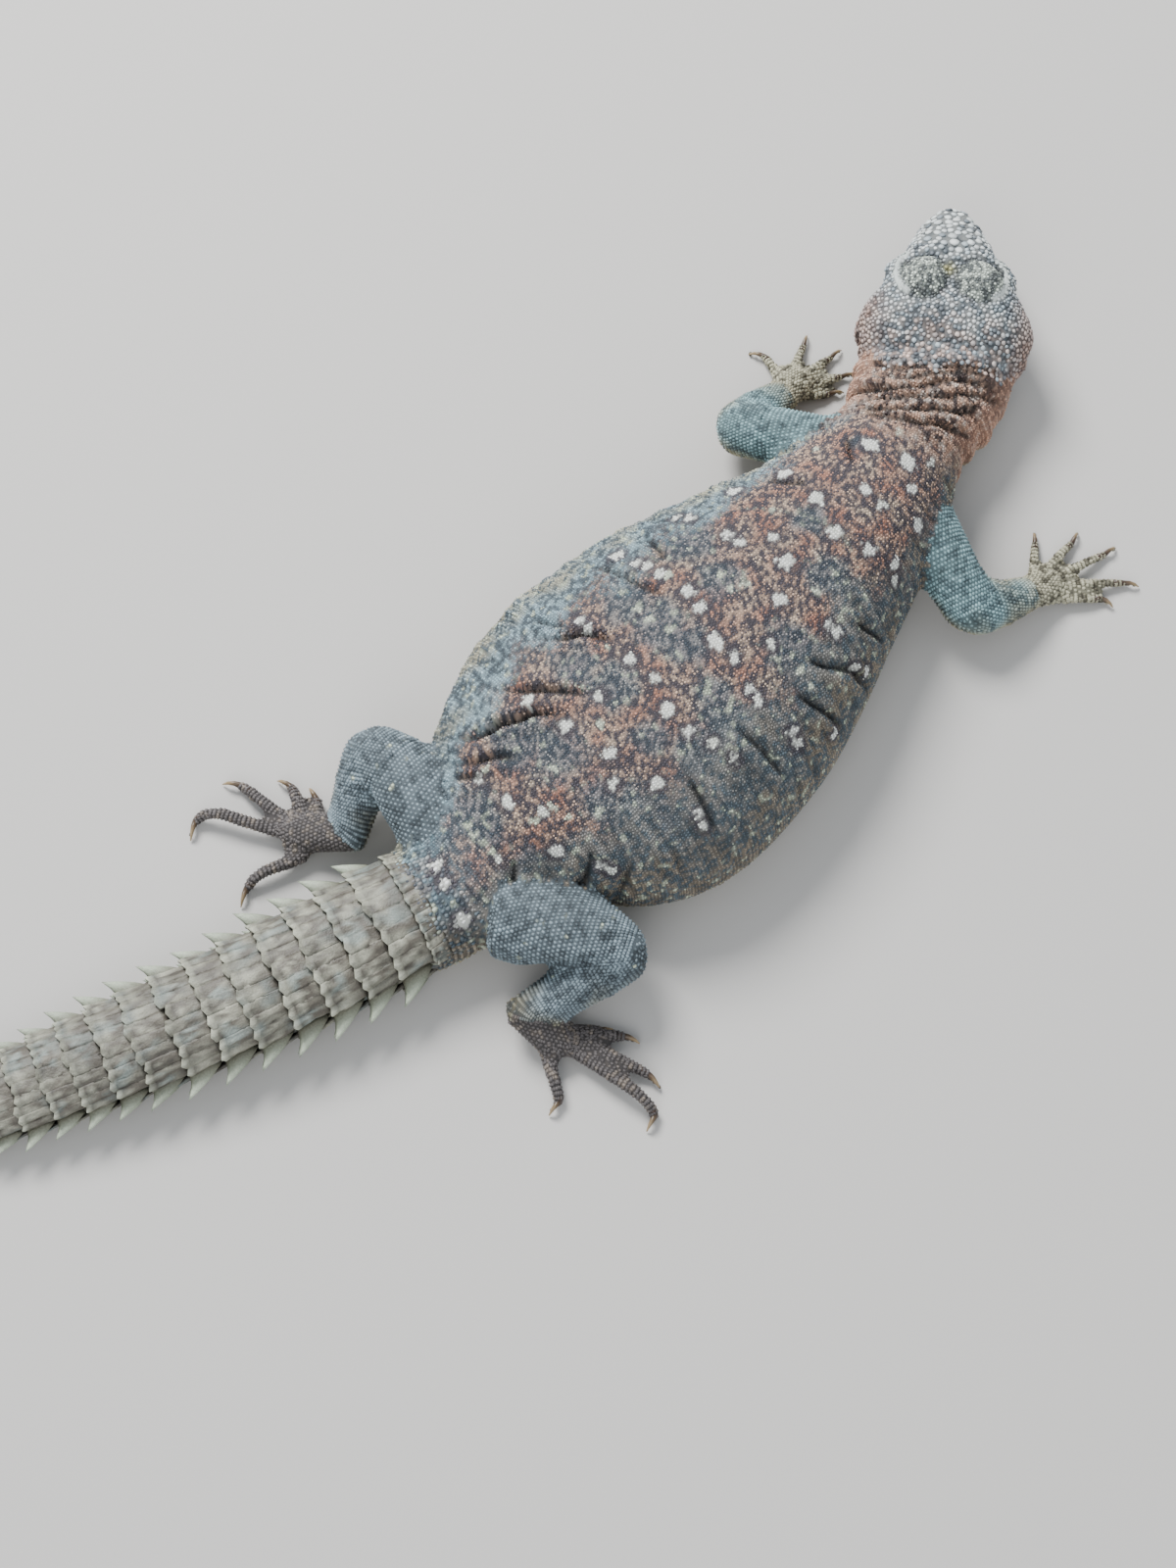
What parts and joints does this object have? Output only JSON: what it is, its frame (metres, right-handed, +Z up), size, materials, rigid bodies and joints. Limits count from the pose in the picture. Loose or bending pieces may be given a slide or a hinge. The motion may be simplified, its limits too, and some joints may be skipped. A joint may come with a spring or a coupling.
{
  "type": "life-size still model of a spiny-tailed lizard (uromastyx)",
  "caption": "Still, life-size uromastyx lying flat: fat patterned body, blunt head turned left, bent legs, and a thick tail ringed with spines.",
  "frame": {"origin": "point on the floor under the middle of the belly", "axes": "+X from the tail towards the head, +Y to the animal's left, +Z up from the floor it rests on"},
  "size_m": [0.3096, 0.1144, 0.034],
  "materials": {
    "head_skin": "matt, pebbled with small pale scales over dark skin",
    "eye": "wet gloss, dark brown",
    "neck_skin": "matt, rust brown, loose rolls",
    "back_skin": "matt, rust and slate speckle with white spots",
    "tail_scales": "dry satin, straw grey, ringed with pale spines",
    "limb_skin": "matt, slate grey small scales",
    "foot_skin": "matt, olive brown small scales",
    "claw": "smooth horn, dark brown"
  },
  "bodies": {
    "root": {"head": "head_skin", "eye_left": "eye", "eye_right": "eye", "neck": "neck_skin", "torso": "back_skin", "tail_root": "back_skin", "tail_front": "tail_scales", "tail_middle": "tail_scales", "tail_rear": "tail_scales", "upper_arm_left": "limb_skin", "forearm_left": "limb_skin", "hand_left": "foot_skin", "thigh_left": "limb_skin", "shin_left": "limb_skin", "foot_left": "foot_skin", "upper_arm_right": "limb_skin", "forearm_right": "limb_skin", "hand_right": "foot_skin", "thigh_right": "limb_skin", "shin_right": "limb_skin", "foot_right": "foot_skin"}
  },
  "joints": []
}
